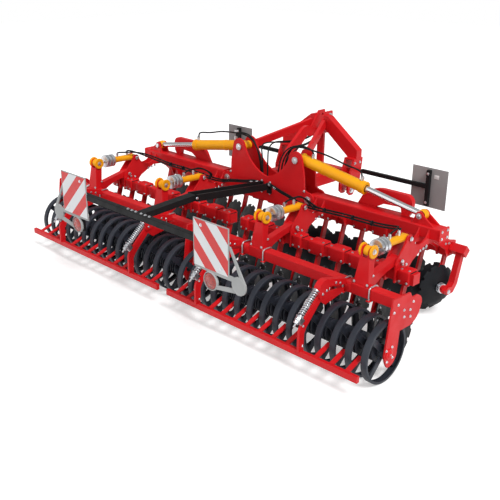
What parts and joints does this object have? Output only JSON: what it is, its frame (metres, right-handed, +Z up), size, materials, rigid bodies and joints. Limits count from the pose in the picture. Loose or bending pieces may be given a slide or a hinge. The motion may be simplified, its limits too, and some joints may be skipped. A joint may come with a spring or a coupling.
{
  "type": "disc harrow",
  "caption": "Folding disc harrow with two rows of notched discs, ring rollers, scraper bars, hydraulic cylinders, a three-point hitch and striped marker boards.",
  "frame": {"origin": "on the ground under the middle of the machine's overall box", "axes": "+X to the right of travel, +Y forwards to the tractor, +Z up"},
  "size_m": [4.82, 2.77, 1.64],
  "materials": {
    "red_paint": "glossy red",
    "black_paint": "satin black",
    "yellow_paint": "glossy yellow",
    "board": "white and red stripes",
    "board_grey": "matte grey",
    "casting": "matte grey",
    "disc_steel": "dark blued steel",
    "ring_steel": "dark grey",
    "rod_chrome": "polished"
  },
  "bodies": {
    "frame": {"board_tubes": "black_paint", "centre_plates": "red_paint", "centre_tube": "red_paint", "fore_tubes": "red_paint", "front_beam": "red_paint", "front_boards": "board_grey", "headstock_braces": "red_paint", "headstock_legs": "red_paint", "hitch_brackets": "red_paint", "lamp_brackets": "casting", "light_arms": "black_paint", "light_bar": "black_paint", "rear_boards": "board", "top_plates": "red_paint"},
    "wing_right": {"disc_arms_right": "red_paint", "discs_right": "disc_steel", "row_tubes_right": "red_paint", "side_plates_right": "red_paint", "wing_beam_right": "red_paint"},
    "roller_frame_right": {"roller_arms_right": "red_paint", "roller_beam_right": "red_paint", "roller_ends_right": "red_paint", "scraper_bar_right": "red_paint", "scraper_posts_right": "red_paint"},
    "roller_right": {"roller_right": "ring_steel"},
    "depth_barrels_right": {"depth_barrels_right": "yellow_paint"},
    "depth_rods_right": {"depth_rods_right": "rod_chrome"},
    "fold_barrel_right": {"fold_barrel_right": "yellow_paint"},
    "fold_rod_right": {"fold_rod_right": "rod_chrome"},
    "wing_left": {"disc_arms_left": "red_paint", "discs_left": "disc_steel", "row_tubes_left": "red_paint", "side_plates_left": "red_paint", "wing_beam_left": "red_paint"},
    "roller_frame_left": {"roller_arms_left": "red_paint", "roller_beam_left": "red_paint", "roller_ends_left": "red_paint", "scraper_bar_left": "red_paint", "scraper_posts_left": "red_paint"},
    "roller_left": {"roller_left": "ring_steel"},
    "depth_barrels_left": {"depth_barrels_left": "yellow_paint"},
    "depth_rods_left": {"depth_rods_left": "rod_chrome"},
    "fold_barrel_left": {"fold_barrel_left": "yellow_paint"},
    "fold_rod_left": {"fold_rod_left": "rod_chrome"}
  },
  "joints": [
    {"name": "wing_fold_right", "type": "hinge", "parent": "frame", "child": "wing_right", "pos_m": [0.598, 0.46, 0.925], "axis": [0, -1, 0], "range_deg": [0, 90]},
    {"name": "fold_barrel_pin_right", "type": "hinge", "parent": "frame", "child": "fold_barrel_right", "pos_m": [0.41, 0.46, 1.312], "axis": [0, -1, 0], "range_deg": [0, 98]},
    {"name": "fold_rod_slide_right", "type": "slide", "parent": "fold_barrel_right", "child": "fold_rod_right", "axis": [0.986, 0, -0.1668], "range_m": [-0.596, 0]},
    {"name": "roller_depth_right", "type": "hinge", "parent": "wing_right", "child": "roller_frame_right", "pos_m": [1.3545, -0.05, 0.785], "axis": [1, 0, 0], "range_deg": [-6, 3]},
    {"name": "depth_barrel_pin_right", "type": "hinge", "parent": "wing_right", "child": "depth_barrels_right", "pos_m": [1.3545, 0.07, 0.965], "axis": [1, 0, 0], "range_deg": [-5, 3]},
    {"name": "depth_rod_slide_right", "type": "slide", "parent": "depth_barrels_right", "child": "depth_rods_right", "axis": [0, -0.9993, 0.0374], "range_m": [-0.021, 0.013]},
    {"name": "roller_turn_right", "type": "hinge", "parent": "roller_frame_right", "child": "roller_right", "pos_m": [1.235, -0.715, 0.275], "axis": [1, 0, 0], "continuous": true},
    {"name": "wing_fold_left", "type": "hinge", "parent": "frame", "child": "wing_left", "pos_m": [-0.598, 0.46, 0.925], "axis": [0, 1, 0], "range_deg": [0, 90]},
    {"name": "fold_barrel_pin_left", "type": "hinge", "parent": "frame", "child": "fold_barrel_left", "pos_m": [-0.41, 0.46, 1.312], "axis": [0, 1, 0], "range_deg": [0, 98]},
    {"name": "fold_rod_slide_left", "type": "slide", "parent": "fold_barrel_left", "child": "fold_rod_left", "axis": [-0.986, 0, -0.1668], "range_m": [-0.596, 0]},
    {"name": "roller_depth_left", "type": "hinge", "parent": "wing_left", "child": "roller_frame_left", "pos_m": [-1.3545, -0.05, 0.785], "axis": [1, 0, 0], "range_deg": [-6, 3]},
    {"name": "depth_barrel_pin_left", "type": "hinge", "parent": "wing_left", "child": "depth_barrels_left", "pos_m": [-1.3545, 0.07, 0.965], "axis": [1, 0, 0], "range_deg": [-5, 3]},
    {"name": "depth_rod_slide_left", "type": "slide", "parent": "depth_barrels_left", "child": "depth_rods_left", "axis": [0, -0.9993, 0.0374], "range_m": [-0.021, 0.013]},
    {"name": "roller_turn_left", "type": "hinge", "parent": "roller_frame_left", "child": "roller_left", "pos_m": [-1.235, -0.715, 0.275], "axis": [1, 0, 0], "continuous": true}
  ],
  "couplings": [
    {"joint": "fold_barrel_pin_right", "follows": "wing_fold_right", "ratio": 1.0703},
    {"joint": "fold_rod_slide_right", "follows": "wing_fold_right", "m_per_rad": -0.37853},
    {"joint": "depth_barrel_pin_right", "follows": "roller_depth_right", "ratio": 0.7924},
    {"joint": "depth_rod_slide_right", "follows": "roller_depth_right", "m_per_rad": 0.1862},
    {"joint": "fold_barrel_pin_left", "follows": "wing_fold_left", "ratio": 1.0703},
    {"joint": "fold_rod_slide_left", "follows": "wing_fold_left", "m_per_rad": -0.37853},
    {"joint": "depth_barrel_pin_left", "follows": "roller_depth_left", "ratio": 0.7924},
    {"joint": "depth_rod_slide_left", "follows": "roller_depth_left", "m_per_rad": 0.1862}
  ]
}
